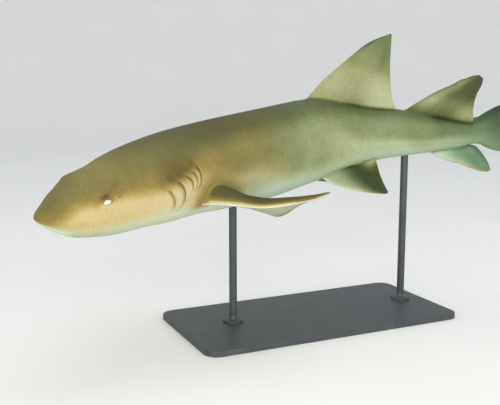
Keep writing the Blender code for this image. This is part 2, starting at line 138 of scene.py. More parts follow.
# The eye in metres, but for its share and height: radius of the ball it is placed by, how far that
# stands proud of the cheek, half axes of the drawn eye and of the socket, the lids' tilt, how deep
# the socket is sunk, how far the cornea swells, and half axes and place of the spiracle.
EYE_SHARE = 0.068
EYE_HEIGHT = 0.0118
EYE_RADIUS = 0.013
EYE_PROUD = 0.0033
EYE_SHAPE = (0.014, 0.0095, 0.009)
LID_HALF = (0.0124, 0.007, 0.011)
LID_TILT = 0.1
SOCKET_SINK = 1.2 * MM
CORNEA_RISE = 0.4 * MM
SPIRACLE_HALF = (0.0032, 0.0019, 0.006)
SPIRACLE_PLACE = (EYE_SHARE + 0.0135, EYE_HEIGHT + 0.0035)

# Forms of the head, in metres out of the plain outline: the lids, the hollow round them and the
# bridge of the snout. Then soft patches near the eye: strength, height over the eye's middle, climb
# towards the tail, half height, place behind the eye's middle and half length.
LID_RISE = 2.4 * MM
LID_HOLLOW = 0.7 * MM
SNOUT_RISE = 3.4 * MM
BROW = (2.6 * MM, 0.026, 0.34, 0.007, 0.006, 0.026)
BROW_CREASE = (-1.3 * MM, 0.0165, 0.34, 0.0026, 0.001, 0.016)
CHEEK = (1.6 * MM, -0.03, 0.0, 0.016, -0.01, 0.04)
# Patches of painted shade: behind the brow, in front of the eye, and under the brow over the eye.
BROW_SHADE = (-0.07, 0.025, 0.42, 0.009, 0.026, 0.022)
SNOUT_SHADE = (-0.08, 0.01, 0.42, 0.008, -0.024, 0.014)
UNDER_BROW_SHADE = (1.0, 0.0165, 0.1, 0.0062, -0.002, 0.0115)

# Gill slits: share of the ends, height of the middle, half height, how far the middle bows back,
# and how far the lower end lies behind the upper one. GILL_OPEN is how open each of them stands.
GILLS = np.array([
    (0.1365, -0.0040, 0.0130, 0.0028, 0.0065),
    (0.1472, -0.0016, 0.0182, 0.0085, 0.0005),
    (0.1592, 0.0053, 0.0142, 0.0108, -0.0020),
    (0.1722, 0.0103, 0.0118, 0.0060, 0.0005),
    (0.1800, 0.0135, 0.0140, 0.0055, -0.0030),
])
GILL_OPEN = (0.55, 0.85, 0.95, 0.8, 1.0)
# Across a gill slit, in millimetres: place, where it is moved to, and how far it stands out. The
# flap in front of the slit hangs over it.
GILL_FOLD = np.array([
    (-9.0, -9.0, 0.2), (-6.5, -6.6, 1.0), (-4.2, -4.4, 1.8), (-2.4, -2.6, 2.3), (-1.2, -1.3, 2.4),
    (-0.6, -0.4, 2.0), (-0.2, 0.1, 1.1), (0.1, -0.1, -0.3), (0.4, -0.8, -2.2), (0.8, -0.9, -4.4),
    (1.2, 0.3, -6.2), (1.6, 1.7, -6.0), (2.1, 2.7, -4.4), (2.9, 3.6, -2.4), (4.2, 4.7, -0.9),
    (6.0, 6.0, 0.0),
])

# The mouth: share of its middle, half width, how far its corners lie back, the shares between which
# the rings sweep back with them, and its fold, given as a gill's.
MOUTH_SHARE = 0.036
MOUTH_HALF = 0.021
MOUTH_SWEEP = 0.01
MOUTH_SWEPT = (0.018, 0.07)
MOUTH_FOLD = np.array([
    (-9.0, -9.0, 0.2), (-6.0, -6.0, 1.0), (-3.6, -3.4, 1.8), (-1.9, -1.4, 2.1), (-0.9, -0.1, 1.8),
    (-0.4, 0.5, 0.6), (0.0, 0.4, -1.5), (0.4, 0.0, -4.0), (0.9, 0.4, -6.2), (1.4, 1.3, -6.4),
    (1.8, 2.0, -4.0), (2.3, 2.1, -1.5), (3.0, 2.6, 0.2), (4.2, 3.9, 1.4), (6.2, 6.2, 1.6),
    (9.0, 9.0, 0.9), (12.0, 12.0, 0.1),
])
MOUTH_NUMBER = len(GILLS) + 1

# The nostrils: share and side, and half axes in metres.
NOSTRIL_PLACE = (0.0205, 0.0172)
NOSTRIL_HALF = (0.0062, 0.0032, 0.0075)

# Barbels: share and side of the root, length and root radius in metres.
BARBEL_ROOT = (0.0235, 0.015)
BARBEL_LENGTH = 0.041
BARBEL_RADIUS = 0.004
BARBEL_RINGS = 34
BARBEL_POINTS = 20

# Fins: half thickness of the edge in metres, rows from root to tip, points across one face.
FIN_EDGE = 0.0008
FIN_ROWS = 76
FIN_POINTS = 34
# Thickness along the chord of a usual wing section: pairs of factor and power.
WING_SECTION = ((2.969, 0.5), (-1.26, 1), (-3.516, 2), (2.843, 3), (-1.036, 4))
# How far a fin and a barbel are eased into the body, in metres, and in how many rounds. Points
# nearer than SAME_PLACE are the same.
FIN_FILLET = 0.02
BARBEL_FILLET = 0.004
EASE_ROUNDS = 24
SAME_PLACE = 1e-6

SKIN_NODES = ("head", "trunk", "tail", "caudal_fin", "dorsal_fin_first", "dorsal_fin_second",
              "anal_fin", "pectoral_fin_left", "pectoral_fin_right", "pelvic_fin_left",
              "pelvic_fin_right", "barbel_left", "barbel_right")
STAND_NODES = ("stand_base", "stand_rod_front", "stand_rod_rear")

# The camera: place, degrees up from straight down and round from +Y, focal length and film width.
CAMERA_PLACE = (-1.4643, -2.3694, 0.8556)
CAMERA_TILT = 80.42
CAMERA_TURN = -25.0
CAMERA_LENS = 57.25
CAMERA_FILM = 36.0

# The studio: radius of the floor and of its curve up into the wall, height of the wall, points
# round it, the sky, and the soft square lights with name, place, aim, size, power and colour.
STAGE_RADIUS = 10.0
STAGE_CURVE = 3.0
STAGE_TOP = 5.0
STAGE_POINTS = 96
SKY = (0.93, 0.96, 1.0, 1)
SKY_STRENGTH = 0.75
LIGHTS = (
    ("key", (-2.4, -3.6, 1.5), (-0.4, -0.1, 0.5), 2.2, 95.0, (1.0, 0.97, 0.9)),
    ("fill", (0.6, -4.0, 0.5), (0.1, 0.0, 0.5), 1.6, 45.0, (1, 1, 1)),
    ("top", (0.6, 0.6, 4.2), (0.0, 0.0, 0.5), 3.0, 30.0, (1, 1, 1)),
)


def smooth(part):
    """0 below 0, 1 above 1, eased between."""
    part = np.clip(part, 0, 1)
    return part * part * (3 - 2 * part)


def rise(value, start, width):
    """0 up to a start, eased to 1 over a width."""
    return smooth((value - start) / width)


def fall(value, end, width):
    """1 until a width before an end, eased to 0 at it."""
    return smooth((end - value) / width)


def bell(distance, reach):
    """1 at no distance, fading over a reach."""
    return np.exp(-(distance / reach) ** 2)


def through(places, values, at):
    """The smooth curve through values at places, with no overshoot between them."""
    step = np.diff(places)[:, None]
    slope = np.diff(values, axis=0) / step
    ahead = 2 * step[1:] + step[:-1]
    behind = step[1:] + 2 * step[:-1]
    same_way = slope[:-1] * slope[1:] > 0
    safe = np.where(same_way, slope[:-1], 1), np.where(same_way, slope[1:], 1)
    inner = (ahead + behind) / (ahead / safe[0] + behind / safe[1]) * same_way
    tangent = np.vstack([slope[:1], inner, slope[-1:]])
    at = np.atleast_1d(at)
    span = np.clip(np.searchsorted(places, at, side="right") - 1, 0, len(places) - 2)
    width = step[span]
    part = (at[:, None] - places[span, None]) / width
    start = (1 + 2 * part) * values[span] + part * width * tangent[span]
    end = (3 - 2 * part) * values[span + 1] + (part - 1) * width * tangent[span + 1]
    return (1 - part) ** 2 * start + part ** 2 * end


def unit(vectors):
    """Vectors, made 1 long."""
    return vectors / np.linalg.norm(vectors, axis=-1, keepdims=True)


def lay_spine():
    """Shares, points, left, up and along directions of the posed spine."""
    shares = np.linspace(0, 1, SPINE_STEPS + 1)
    heading, climb = np.radians(through(SPINE[:, 0], SPINE[:, 1:], shares)).T
    ahead, aside = np.cos(heading), np.sin(heading)
    along = np.stack([ahead * np.cos(climb), aside * np.cos(climb), np.sin(climb)], 1)
    left = np.stack([aside, -ahead, np.zeros_like(heading)], 1)
    travel = np.cumsum((along[1:] + along[:-1]) / 2, axis=0) * LENGTH / SPINE_STEPS
    points = SNOUT_TIP + np.vstack([np.zeros(3), travel])
    return shares, points, left, np.cross(left, along), along


SPINE_LAID = lay_spine()


def spine_at(share, which):
    """One of the laid spine's columns, read at any share: 1 point, 2 left, 3 up, 4 along."""
    rows = SPINE_LAID[which]
    return np.stack([np.interp(share, SPINE_LAID[0], rows[:, k]) for k in range(3)], axis=-1)


def axes_at(share):
    """Directions back along the spine, left and up."""
    return [spine_at(share, which) for which in (4, 2, 3)]


def pose(share, side, height):
    """World points of straight-shark places."""
    share, side, height = np.broadcast_arrays(share, side, height)
    offset = spine_at(share, 2) * side[..., None] + spine_at(share, 3) * height[..., None]
    return spine_at(share, 1) + LENGTH * offset


def unpose(points):
    """Share, side and height of world points."""
    share = np.clip((points[:, 0] - SNOUT_TIP[0]) / LENGTH, 0, 1)
    for _ in range(UNPOSE_ROUNDS):
        ahead = points - spine_at(share, 1)
        share = np.clip(share + (ahead * spine_at(share, 4)).sum(1) / LENGTH, 0, 1)
    ahead = (points - spine_at(share, 1)) / LENGTH
    return share, (ahead * spine_at(share, 2)).sum(1), (ahead * spine_at(share, 3)).sum(1)


def sizes_at(share):
    """Half width, back, belly and the two squarenesses of the trunk at a share."""
    reach = np.clip(share, 0, TAIL_END)
    return through(np.sqrt(SECTIONS[:, 0]), SECTIONS[:, 1:], np.sqrt(reach)).T


def flank(share, height):
    """Half width of the trunk at a share and a height."""
    half, back, belly, upper, lower = sizes_at(share)
    tall, square = np.where(height >= 0, (back, upper), (belly, lower))
    return half * np.maximum(0, 1 - np.abs(height / tall) ** square) ** (1 / square)


def outline(share, angle):
    """Side and height of the body's skin at shares and angles."""
    half, back, belly, upper, lower = sizes_at(share)
    cosine, sine = np.cos(angle), np.sin(angle)
    square = np.where(sine >= 0, upper, lower)
    side = half * np.sign(cosine) * np.abs(cosine) ** (2 / square)
    height = np.where(sine >= 0, back, belly) * np.sign(sine) * np.abs(sine) ** (2 / square)
    ridge_half, top, bottom = through(CAUDAL[:, 0], CAUDAL[:, 1:], np.maximum(share, TAIL_END)).T
    fin_height = np.where(sine >= 0, top, bottom) * sine
    blade = BLADE_EDGE + (BLADE_HALF - BLADE_EDGE) * np.abs(cosine)
    ridge = blade + np.maximum(ridge_half - blade, 0) * bell(fin_height, RIDGE_SPREAD)
    thin = ridge * np.sign(cosine) * np.abs(cosine) ** 0.4
    flatten = rise(share, TAIL_END, BLADE_START)
    behind = share > TAIL_END
    fin_side = ridge_half * cosine * (1 - flatten) + thin * flatten
    return np.where(behind, fin_side, side), np.where(behind, fin_height, height)


def gill_sweep(share, height):
    """How far back the rings are swept, so that they run along the gill slits."""
    at = np.clip(share, GILLS[0, 0], GILLS[-1, 0])
    middle, half, bow, lean = through(GILLS[:, 0], GILLS[:, 1:], at).T
    part = (height - middle) / half
    beyond = np.maximum(np.abs(part) - 1, 0)
    curve = np.where(beyond > 0, -2 * beyond * np.exp(-2 * beyond), 1 - part ** 2)
    tilt = part / (1 + (part / 1.8) ** 4)
    return rise(share, 0.118, 0.02) * fall(share, 0.214, 0.033) * (bow * curve - lean / 2 * tilt)


def mouth_sweep(share, side, height):
    """How far back the rings under the snout are swept, so that they run along the mouth."""
    part = np.clip(np.abs(side) / MOUTH_HALF, 0, 1.1)
    start, end = MOUTH_SWEPT
    reach = rise(share, start, MOUTH_SHARE - start) * fall(share, end, end - MOUTH_SHARE)
    return MOUTH_SWEEP * part ** 2 * reach * fall(height, 0, 0.01)


def ring_plan():
    """Each ring's share, fold (0 none, 1-5 gills, 6 mouth), and move back and out in that fold."""
    folds = [(row[0], GILL_FOLD) for row in GILLS] + [(MOUTH_SHARE, MOUTH_FOLD)]
    snout = np.linspace(0, np.sqrt(SNOUT_END), SNOUT_RINGS)[1:-1] ** 2
    plan = [(share, 0, 0.0, 0.0) for share in snout]
    for low, high, step in RING_STEPS:
        count = int(round((high - low) * LENGTH / (step * MM)))
        plan += [(share, 0, 0.0, 0.0) for share in np.linspace(low, high, count, endpoint=False)]
    for number, (share, fold) in enumerate(folds, start=1):
        low, high = share + (fold[[0, -1], 0] + (-0.8, 0.8)) * MM / LENGTH
        plan = [row for row in plan if not (row[1] == 0 and low < row[0] < high)]
        plan += [(share + place * MM / LENGTH, number, (moved - place) * MM, out * MM)
                 for place, moved, out in fold]
    plan.append((1.0, 0, 0.0, 0.0))
    return np.array(sorted(plan))


def fold_strength(number, side, height):
    """How open a fold is at a place along its length, 0 to 1."""
    if number == MOUTH_NUMBER:
        return fall(np.abs(side) / MOUTH_HALF, 1.08, 0.35) * fall(height, 0, 0.008)
    _, middle, half, _, _ = GILLS[number - 1]
    return GILL_OPEN[number - 1] * fall(np.abs(height - middle) / half, 1.05, 0.4)


def from_eye(share, height):
    """How far back and up from the eye's middle a place is, in metres."""
    return (share - EYE_SHARE) * LENGTH, (height - EYE_HEIGHT) * LENGTH


def lid_ring(along, up):
    """How far a place is from the eye's middle, 1 on the rim of its lids."""
    return np.hypot(along / LID_HALF[0], (up - LID_TILT * along) / LID_HALF[1])


def patch(along, up, strength, level, climb, tall, place, wide):
    """A soft patch near the eye, as the tables of forms and shades give it."""
    return strength * bell(up - level - climb * along, tall) * bell(along - place, wide)


def relief(share, height):
    """How far the skin stands out from the plain outline: lids, brow, cheek and snout forms."""
    along, up = from_eye(share, height)
    ring = lid_ring(along, up)
    out = LID_RISE * bell(np.maximum(ring - 1.05, 0), 0.42) * fall(np.abs(along), 0.022, 0.01)
    out -= LID_HOLLOW * bell(ring - 2.1, 0.4)
    for form in (BROW, BROW_CREASE, CHEEK):
        out += patch(along, up - LID_TILT * along, *form)
    return out + SNOUT_RISE * bell(share - 0.0425, 0.0055) * rise(height, 0.012, 0.012)


def gill_marks(shares, heights):
    """Painted highlight of the flap in front of each gill slit, and painted shade of its fold less
    painted highlight on the crest behind it.
    """
    flap_highlight, gill_light_and_shade, crest_highlight = (np.zeros(heights.shape) for _ in range(3))
    for number, (slit_share, middle, half, _, _) in enumerate(GILLS, start=1):
        before = (slit_share - shares[:, None]) * LENGTH
        level = (heights - middle) / half
        strength = fold_strength(number, 0, heights)
        opened = GILL_OPEN[number - 1]
        # The flap in front of a slit is painted lighter as highlight.
        lifted = smooth(before / 0.003 + 0.4) * fall(before, 0.019, 0.012)
        flap_highlight = np.maximum(flap_highlight, lifted * strength)
        # Painted shade along the slit and over its upper end.
        length = opened * fall(level, 1.05, 0.4) * rise(level, -1.32, 0.55)
        above = 0.35 * opened * bell(before - 0.006, 0.0085) * bell(level - 1.1, 0.45)
        gill_light_and_shade = np.maximum(gill_light_and_shade, np.maximum(bell(before - 0.0012, 0.0044) * length, above))
        # Painted highlight on the crest just behind the slit.
        lit = bell(before + 0.006, 0.0034) * strength * smooth(level / 1.2 + 0.5)
        crest_highlight = np.maximum(crest_highlight, lit)
    return flap_highlight, gill_light_and_shade - 0.45 * crest_highlight


def body_grid():
    """The body's places, world points and marks, ring by ring."""
    plan = ring_plan()
    angles = np.concatenate([np.arange(low, high, step) for low, high, step in ANGLE_STEPS])
    angles = np.radians(angles[:len(angles) // 2 * 2])
    shape = (len(plan), len(angles))
    share, angle = (value.ravel() for value in np.meshgrid(plan[:, 0], angles, indexing="ij"))
    side, height = outline(share, angle)
    swept = share + gill_sweep(share, height) + mouth_sweep(share, side, height)
    swept = np.clip(swept, 0, 1)
    side, height = outline(swept, angle)
    plain = pose(swept, side, height).reshape(*shape, 3)
    around = np.roll(plain, -1, axis=1) - np.roll(plain, 1, axis=1)
    normal = unit(np.cross(np.gradient(plain, axis=0), around))
    back, out = np.zeros(shape), relief(swept, height).reshape(shape)
    slit = np.zeros(shape)
    sides, heights = side.reshape(shape), height.reshape(shape)
    for k in np.flatnonzero(plan[:, 1]):
        _, number, moved, stands = plan[k]
        strength = fold_strength(int(number), sides[k], heights[k])
        back[k] = strength * moved
        out[k] += strength * stands
        # Where the fold sinks in, the slit is painted dark as shade.
        slit[k] = strength * fall(stands, 0.2 * MM, 1.8 * MM)
    flap_highlight, gill_light_and_shade = gill_marks(plan[:, 0], heights)
    moved = np.clip(swept + back.ravel() / LENGTH, 0, 1)
    side, height = outline(moved, angle)
    points = pose(moved, side, height).reshape(*shape, 3) + normal * out[..., None]
    return plan[:, 0], points, np.stack([slit, flap_highlight, gill_light_and_shade], axis=-1)


def solid_from(name, points, faces):
    """An object made of points and faces."""
    mesh = bpy.data.meshes.new(name)
    mesh.from_pydata(points.tolist(), [], faces)
    mesh.update()
    piece = bpy.data.objects.new(name, mesh)
    bpy.context.scene.collection.objects.link(piece)
    return piece


def ring_faces(start, rings, count):
    """Faces between rings of points that follow one another from a start."""
    return [(a + k, a + count + k, a + count + (k + 1) % count, a + (k + 1) % count)
            for a in range(start, start + (rings - 1) * count, count) for k in range(count)]


def body_solid():
    """The body as one closed solid, finest up to the gills, with its marks."""
    shares, grid, marks = body_grid()
    split = int(np.searchsorted(shares, COARSE_FROM))
    count, half, depth = grid.shape[1], grid.shape[1] // 2, marks.shape[2]
    rear = grid[split + 1:, ::2].reshape(-1, 3)
    points = np.vstack([pose(0.0, 0.0, 0.0)[None], grid[:split + 1].reshape(-1, 3), rear,
                        rear[-half:].mean(0)[None]])
    nothing = np.zeros((1, depth))
    kept = np.vstack([nothing, marks[:split + 1].reshape(-1, depth),
                      marks[split + 1:, ::2].reshape(-1, depth), nothing])
    faces = [(0, 1 + k, 1 + (k + 1) % count) for k in range(count)]
    faces += ring_faces(1, split + 1, count)
    last = 1 + split * count
    first = last + count
    faces += [(last + 2 * k, first + k, first + (k + 1) % half, last + (2 * k + 2) % count,
               last + 2 * k + 1) for k in range(half)]
    rings = len(shares) - split - 1
    faces += ring_faces(first, rings, half)
    end = first + (rings - 1) * half
    faces += [(end + half, end + (k + 1) % half, end + k) for k in range(half)]
    return points, faces, kept


def outward(points, faces):
    """The faces, turned round if the solid they close is inside out."""
    volume = sum(np.dot(points[face[0]], np.cross(points[b], points[c]))
                 for face in faces for b, c in zip(face[1:], face[2:]))
    return faces if volume > 0 else [face[::-1] for face in faces]


def tube_faces(rings, count):
    """Faces of a closed tube of rings, whose two end centres follow the rings' points."""
    first, last, end = rings * count, rings * count + 1, (rings - 1) * count
    faces = [face[:1] + face[:0:-1] for face in ring_faces(0, rings, count)]
    faces += [(first, (k + 1) % count, k) for k in range(count)]
    return faces + [(last, end + k, end + (k + 1) % count) for k in range(count)]


def tube(rings):
    """Points and faces of a tube through rings of points, closed at the middle of its end rings."""
    points = np.vstack([*rings, rings[0].mean(0), rings[-1].mean(0)])
    return points, outward(points, tube_faces(len(rings), len(rings[0])))


def circle(count):
    """Cosines and sines of even steps round a circle."""
    turn = np.linspace(0, 2 * np.pi, count, endpoint=False)
    return np.cos(turn), np.sin(turn)


def fin_solid(edges, sink, to_world, thick, arch=0.0):
    """Points, faces and (out, chord, face) marks of a fin lofted between its front and rear edge.

    Its root is sunk into the body, thick is its thickness at root and tip, and arch its camber.
    """
    spread = np.linspace(0, 1, FIN_ROWS)
    out = 0.5 * spread + 0.5 * (1 - np.cos(np.pi * spread)) / 2
    lead, trail = (through(edge[:, 0], edge[:, 1:], out) for edge in edges)
    lead, trail = (np.vstack([line[:1] + sink, line]) for line in (lead, trail))
    out = np.concatenate([[0.0], out])
    lift = to_world(lead + np.outer(arch * (1 - out), (0, 0, 1))) - to_world(lead)
    lead, trail = to_world(lead), to_world(trail)
    normal = unit(np.cross(np.gradient((lead + trail) / 2, axis=0), trail - lead))
    depth = (thick[1] + (thick[0] - thick[1]) * (1 - out) ** 0.8) * LENGTH
    depth *= (1 + 0.7 * np.exp(-out / 0.05)) * np.sqrt(np.clip((1.004 - out) / 0.02, 0, 1))
    chord = ((1 - np.cos(np.pi * np.linspace(0, 1, FIN_POINTS + 2)[1:-1])) / 2) ** 1.25
    full = sum(part * chord ** power for part, power in WING_SECTION)
    rim = FIN_EDGE * np.minimum(1, chord * 4) * np.sqrt(np.clip((1 - chord) / 0.01, 0, 1))
    half = depth[:, None] / 2 * full + rim
    line = lead[:, None] + (trail - lead)[:, None] * chord[:, None]
    line += lift[:, None] * np.sin(np.pi * chord ** 0.7)[:, None]
    upper, lower = (line + hand * normal[:, None] * half[..., None] for hand in (1, -1))
    points = np.concatenate([trail[:, None], upper[:, ::-1], lead[:, None], lower], axis=1)
    around = np.concatenate([[1.0], chord[::-1], [0.0], chord])
    facing = np.concatenate([[0.0], np.ones(FIN_POINTS), [0.0], -np.ones(FIN_POINTS)])
    rings, count = points.shape[:2]
    marks = np.stack([np.repeat(out, count), np.tile(around, rings), np.tile(facing, rings)], 1)
    return *tube(points), np.vstack([marks, (0.0, 0.5, 0.0), (1.0, 0.5, 0.0)])


def from_back(points):
    """Places of a dorsal fin, whose heights count from the back."""
    return pose(points[:, 0], points[:, 1], points[:, 2] + sizes_at(points[:, 0])[1])


def from_spine(points):
    """Places of the anal fin, whose heights count from the spine."""
    return pose(points[:, 0], points[:, 1], points[:, 2])


def from_flank(share, height, hand):
    """Places of a paired fin, counted back, out and up from its front corner on the flank."""
    corner = pose(share, hand * flank(share, height)[0], height)
    axes = np.array(axes_at(share)) * ((1,), (hand,), (1,))
    return lambda points: corner + LENGTH * points @ axes


def median_edges():
    """Front and rear edges of the two dorsal fins and the anal fin.

    Rows run from root to tip: how far out (0 to 1), share, side, and height by the back or spine.
    """
    first = (
        np.array([(0.0, 0.45, 0, -0.004), (0.25, 0.48, 0, 0.0245), (0.5, 0.513, 0, 0.0565),
                  (0.8, 0.554, 0, 0.096), (1.0, 0.5835, 0, 0.112)]),
        np.array([(0.0, 0.549, 0, -0.004), (0.11, 0.5905, 0.008, -0.001),
                  (0.27, 0.5868, 0.001, 0.018), (0.6, 0.5836, 0, 0.06), (0.93, 0.585, 0, 0.1025),
                  (1.0, 0.5855, 0, 0.1105)]),
    )
    second = (
        np.array([(0.0, 0.603, 0, -0.004), (0.25, 0.6335, 0, 0.0187), (0.5, 0.668, 0, 0.0415),
                  (0.8, 0.712, 0, 0.0614), (0.93, 0.732, 0, 0.065), (1.0, 0.7455, 0, 0.0643)]),
        np.array([(0.0, 0.7, 0.009, -0.012), (0.11, 0.7175, 0.011, -0.0055),
                  (0.27, 0.7234, 0.004, 0.0135), (0.6, 0.7345, 0, 0.0345), (0.93, 0.75, 0, 0.0515),
                  (1.0, 0.753, 0, 0.0578)]),
    )
    anal = (
        np.array([(0.0, 0.644, 0, -0.017), (0.25, 0.67, 0, -0.0325), (0.5, 0.7, 0, -0.042),
                  (0.8, 0.728, 0, -0.0562), (1.0, 0.742, 0, -0.0612)]),
        np.array([(0.0, 0.708, 0, -0.01), (0.11, 0.7262, 0, -0.0158), (0.27, 0.73, 0, -0.02),
                  (0.6, 0.7392, 0, -0.035), (0.93, 0.7455, 0, -0.052), (1.0, 0.7462, 0, -0.058)]),
    )
    return first, second, anal


def pectoral_edges(droop):
    """Edges of a pectoral fin, its rear corner hanging by droop.

    Rows run from root to tip: how far out (0 to 1), then back, sideways and up from the root.
    """
    lead = np.array([(0.0, -0.003, -0.006, 0.0), (0.25, 0.026, 0.028, -0.12 * droop),
                     (0.5, 0.05, 0.067, -0.23 * droop), (0.85, 0.1015, 0.1003, -0.18 * droop),
                     (1.0, 0.1265, 0.1092, -0.11 * droop)])
    trail = np.array([(0.0, 0.062, -0.006, -0.006), (0.12, 0.083, 0.0105, -0.44 * droop),
                      (0.25, 0.113, 0.0304, -droop), (0.6, 0.1135, 0.0708, -0.52 * droop),
                      (0.92, 0.1255, 0.0965, -0.23 * droop), (1.0, 0.1305, 0.1077, -0.12 * droop)])
    return lead, trail


def pelvic_edges(droop):
    """Edges of a pelvic fin, its tip hanging by droop, in rows like the pectoral fin's."""
    lead = np.array([(0.0, -0.003, -0.006, 0.004), (0.25, 0.012, 0.008, -0.29 * droop),
                     (0.5, 0.0376, 0.0319, -0.67 * droop), (0.85, 0.0693, 0.045, -0.95 * droop),
                     (1.0, 0.0795, 0.0497, -droop)])
    trail = np.array([(0.0, 0.05, -0.01, 0.01), (0.12, 0.086, 0.001, 0.01),
                      (0.25, 0.0955, 0.003, 0.013), (0.6, 0.0884, 0.0239, -0.29 * droop),
                      (0.92, 0.0835, 0.047, -0.92 * droop), (1.0, 0.0835, 0.0487, -0.96 * droop)])
    return lead, trail


# What grows out of the body. The number marks its kind in the skin's markings.
FIRST_DORSAL, SECOND_DORSAL, ANAL, PECTORAL, PELVIC, BARBEL = 1, 2, 3, 4, 5, 6
# Share and height of the paired fins' front corners. For the left and the right side: hand, droop
# and arch of the pectoral fin, and how steeply the barbel hangs.
PECTORAL_CORNER = (0.185, -0.022)
PELVIC_CORNER = (0.45, -0.044)
PELVIC_DROOP = 0.0326
PAIRED = ((1, 0.042, 0.013, 0.56), (-1, 0.016, 0.006, 0.45))


def growths():
    """Every fin and barbel: its kind, points, faces and (out, chord, face) marks."""
    first, second, anal = median_edges()
    yield FIRST_DORSAL, *fin_solid(first, (0, 0, -0.022), from_back, (0.015, 0.0022))
    yield SECOND_DORSAL, *fin_solid(second, (0, 0, -0.014), from_back, (0.0095, 0.002))
    yield ANAL, *fin_solid(anal, (0, 0, 0.008), from_spine, (0.0095, 0.0018))
    for hand, droop, arch, hang in PAIRED:
        corner = from_flank(*PECTORAL_CORNER, hand)
        fin = fin_solid(pectoral_edges(droop), (0, -0.03, 0.0), corner, (0.02, 0.0026), arch)
        corner = from_flank(*PELVIC_CORNER, hand)
        hind = fin_solid(pelvic_edges(PELVIC_DROOP), (0, -0.016, 0.012), corner, (0.011, 0.002))
        for kind, (points, faces, marks) in ((PECTORAL, fin), (PELVIC, hind),
                                             (BARBEL, barbel_solid(hand, hang))):
            yield kind, points, faces, marks * (1, 1, hand)


def under(share, side):
    """A point of the skin under the body."""
    half, _, belly, _, square = sizes_at(share)[:, 0]
    return pose(share, side, -belly * (1 - np.abs(side / half) ** square) ** (1 / square))


def barbel_solid(hand, hang):
    """A tapered feeler from beside a nostril, trailing back and hanging down by a share."""
    share, side = BARBEL_ROOT
    back, left, up = axes_at(share)
    steps = np.linspace(-0.25, 1, BARBEL_RINGS)[:, None]
    out = np.maximum(steps, 0)
    course = back * (0.5 * steps + 0.05 * out ** 2) + (left * hand * 0.15 - up * hang) * steps
    line = under(share, hand * side) + BARBEL_LENGTH * course
    heading = unit(np.gradient(line, axis=0))
    across = unit(np.cross(heading, left))
    radius = BARBEL_RADIUS * (1 - 0.72 * out) * np.sqrt(np.clip((1.006 - steps) / 0.05, 0, 1))
    cosine, sine = (part[:, None] for part in circle(BARBEL_POINTS))
    round_it = across[:, None] * cosine + np.cross(heading, across)[:, None] * sine
    marks = np.repeat(out * (1, 0, 0) + (0, 0.5, 0), BARBEL_POINTS, axis=0)
    marks = np.vstack([marks, marks[0], marks[-1]])
    return *tube(line[:, None] + radius[:, None] * round_it), marks


def ellipsoid(centre, axes, halves, rows=24, count=48):
    """Points and faces of a closed ellipsoid, given axes and half lengths, its pole on the last."""
    lean = np.linspace(0, np.pi, rows + 2)[1:-1]
    cosine, sine = circle(count)
    ball = np.stack([np.outer(np.sin(lean), cosine), np.outer(np.sin(lean), sine),
                     np.outer(np.cos(lean), np.ones(count))], axis=-1).reshape(-1, 3)
    ball = np.vstack([ball, (0, 0, 1), (0, 0, -1)])
    points = centre + ball * halves @ np.array(axes)
    return points, outward(points, tube_faces(rows, count))


def tangents(surface, share, place):
    """A point of a surface, and its directions along the share, 1 long, and along the place."""
    step = 0.002
    along = surface(share + step, place) - surface(share - step, place)
    across = surface(share, place + step) - surface(share, place - step)
    return surface(share, place), unit(along), across


def cheek_frame(share, height, hand):
    """A point on the cheek, and the directions back along it, up it and out of it."""
    point, back, up = tangents(lambda s, h: pose(s, hand * flank(s, h)[0], h), share, height)
    out = unit(hand * np.cross(back, up))
    return point, back, hand * np.cross(out, back), out


def eye_centre(hand):
    """Middle of an eyeball, sunk so that it stands proud of the cheek by EYE_PROUD."""
    surface = flank(EYE_SHARE, EYE_HEIGHT)[0]
    across = hand * (surface * LENGTH + EYE_PROUD - EYE_RADIUS) / LENGTH
    return pose(EYE_SHARE, across, EYE_HEIGHT)


def throat_frame(share, side):
    """A point under the snout, and the directions back, left and down out of it."""
    point, back, left = tangents(under, share, side)
    down = unit(np.cross(back, left))
    return point, back, np.cross(down, back), down


def sockets():
    """The eye sockets and spiracles, as closed solids."""
    for hand in (1, -1):
        point, back, up, out = cheek_frame(EYE_SHARE, EYE_HEIGHT, hand)
        tilted = (back * 0.995 + up * LID_TILT, up * 0.995 - back * LID_TILT, out)
        yield ellipsoid(point - out * SOCKET_SINK, tilted, LID_HALF, 32, 64)
        point, *axes = cheek_frame(*SPIRACLE_PLACE, hand)
        yield ellipsoid(point, axes, SPIRACLE_HALF)


def nostrils():
    """The nostrils, as closed solids."""
    share, side = NOSTRIL_PLACE
    for hand in (1, -1):
        point, back, left, down = throat_frame(share, hand * side)
        across = left * hand * 0.92 - back * 0.39
        yield ellipsoid(point, (across, np.cross(down, across), down), NOSTRIL_HALF)


def grooves():
    """The grooves that lead from the nostrils to the mouth, as closed tapered tubes."""
    cosine, sine = circle(20)
    for hand in (1, -1):
        rings = []
        for step in np.linspace(0, 1, 15):
            side = hand * (0.0165 + 0.0014 * np.sin(2.6 * step))
            point, _, left, down = throat_frame(0.0215 + 0.0165 * step, side)
            width, depth = (2.1 - 0.6 * step) * MM, 2.8 * MM
            rings.append(point + np.outer(cosine, left * width) + np.outer(sine, down * depth))
        yield tube(rings)


def joined(solids):
    """Several solids' points and faces as one list each."""
    points, faces, start = [], [], 0
    for some_points, some_faces in solids:
        points.append(some_points)
        faces += [tuple(k + start for k in face) for face in some_faces]
        start += len(some_points)
    return np.vstack(points), faces


def boolean(piece, tool, operation):
    """The piece's mesh joined with, or cut by, the tool's."""
    step = piece.modifiers.new("step", "BOOLEAN")
    step.operation = operation
    step.object = tool
    step.solver = "EXACT"
    graph = bpy.context.evaluated_depsgraph_get()
    mesh = bpy.data.meshes.new_from_object(piece.evaluated_get(graph))
    piece.modifiers.clear()
    piece.data = mesh
    bpy.data.objects.remove(tool)


def read_points(mesh):
    """A mesh's points as an array."""
    flat = np.empty(len(mesh.vertices) * 3)
    mesh.vertices.foreach_get("co", flat)
    return flat.reshape(-1, 3)


